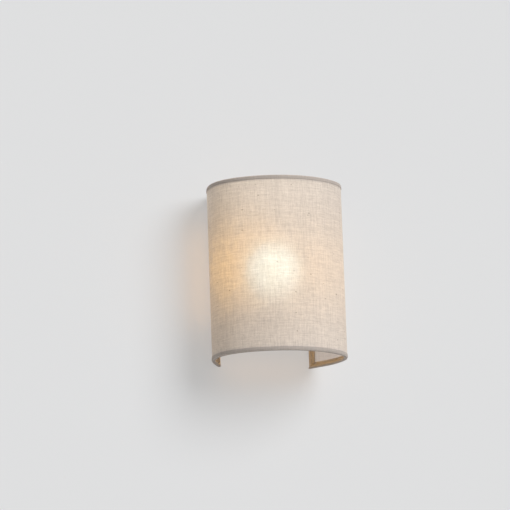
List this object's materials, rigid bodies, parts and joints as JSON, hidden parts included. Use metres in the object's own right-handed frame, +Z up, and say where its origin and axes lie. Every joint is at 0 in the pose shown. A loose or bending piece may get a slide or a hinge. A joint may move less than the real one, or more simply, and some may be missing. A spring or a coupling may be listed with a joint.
{
  "type": "wall light",
  "caption": "Wall light with a half-round linen shade on a wire frame that hangs on a steel wall plate, lampholder and globe lamp inside.",
  "frame": {"origin": "on the wall, at the back face of the wall plate, in the middle of the shade's width and height", "axes": "+Y into the wall, -Y out into the room, +Z up, +X to the right as seen from the room"},
  "size_m": [0.18, 0.14, 0.232],
  "materials": {
    "linen": "natural beige linen, plain weave",
    "binding_linen": "folded strip of the same linen, denser and darker",
    "liner_sheet": "thin translucent laminating sheet",
    "frame_wire": "white coated steel wire",
    "white_enamel": "white powder-coated steel sheet",
    "grommet_rubber": "black rubber",
    "zinc_screws": "zinc-plated steel",
    "holder_plastic": "white heat-resisting moulding",
    "brass_parts": "plain brass",
    "opal_globe": "opal diffusing globe, lit",
    "lamp_board": "white printed board",
    "lamp_housing": "white moulded housing",
    "lamp_cap": "nickel-plated screw cap",
    "lamp_insulator": "black vitrite",
    "block_nylon": "natural nylon",
    "lead_brown": "brown insulated lead",
    "lead_blue": "blue insulated lead",
    "lead_earth": "green and yellow insulated lead",
    "tinned_tag": "tinned copper"
  },
  "bodies": {
    "wall_unit": {"back_plate": "white_enamel", "hanger_pockets": "white_enamel", "cable_grommet": "grommet_rubber", "lampholder_bracket": "white_enamel", "bracket_screws": "zinc_screws", "lampholder_cap": "holder_plastic", "lampholder_body": "holder_plastic", "contact_carrier": "holder_plastic", "lampholder_shell": "brass_parts", "centre_contact": "brass_parts", "holder_terminals": "brass_parts", "holder_terminal_screws": "zinc_screws", "holder_nipple": "zinc_screws", "nipple_washer": "zinc_screws", "nipple_nut": "zinc_screws", "terminal_block": "block_nylon", "terminal_inserts": "brass_parts", "terminal_screws": "zinc_screws", "block_screws": "zinc_screws", "live_lead": "lead_brown", "neutral_lead": "lead_blue", "earth_lead": "lead_earth", "earth_washer": "zinc_screws", "earth_tag": "tinned_tag", "earth_screw": "brass_parts"},
    "shade": {"shade_fabric": "linen", "shade_liner": "liner_sheet", "top_ring": "frame_wire", "bottom_ring": "frame_wire", "side_uprights": "frame_wire", "top_binding": "binding_linen", "bottom_binding": "binding_linen", "left_binding": "binding_linen", "right_binding": "binding_linen", "hanger_bar": "white_enamel"},
    "bulb_tip": {"bulb_insulator": "lamp_insulator", "bulb_tip_contact": "brass_parts"},
    "bulb": {"bulb_globe": "opal_globe", "led_board": "lamp_board", "bulb_housing": "lamp_housing", "bulb_cap": "lamp_cap"}
  },
  "joints": [
    {"name": "shade_lift", "type": "slide", "parent": "wall_unit", "child": "shade", "axis": [0, 0, 1], "range_m": [0, 0.18]},
    {"name": "bulb_rise", "type": "slide", "parent": "wall_unit", "child": "bulb_tip", "axis": [0, 0, 1], "range_m": [0, 0.01815]},
    {"name": "bulb_turn", "type": "hinge", "parent": "bulb_tip", "child": "bulb", "pos_m": [0, -0.065, 0], "axis": [0, 0, 1], "range_deg": [0, 1800]}
  ],
  "couplings": [
    {"joint": "bulb_rise", "follows": "bulb_turn", "m_per_rad": 0.0005775}
  ]
}
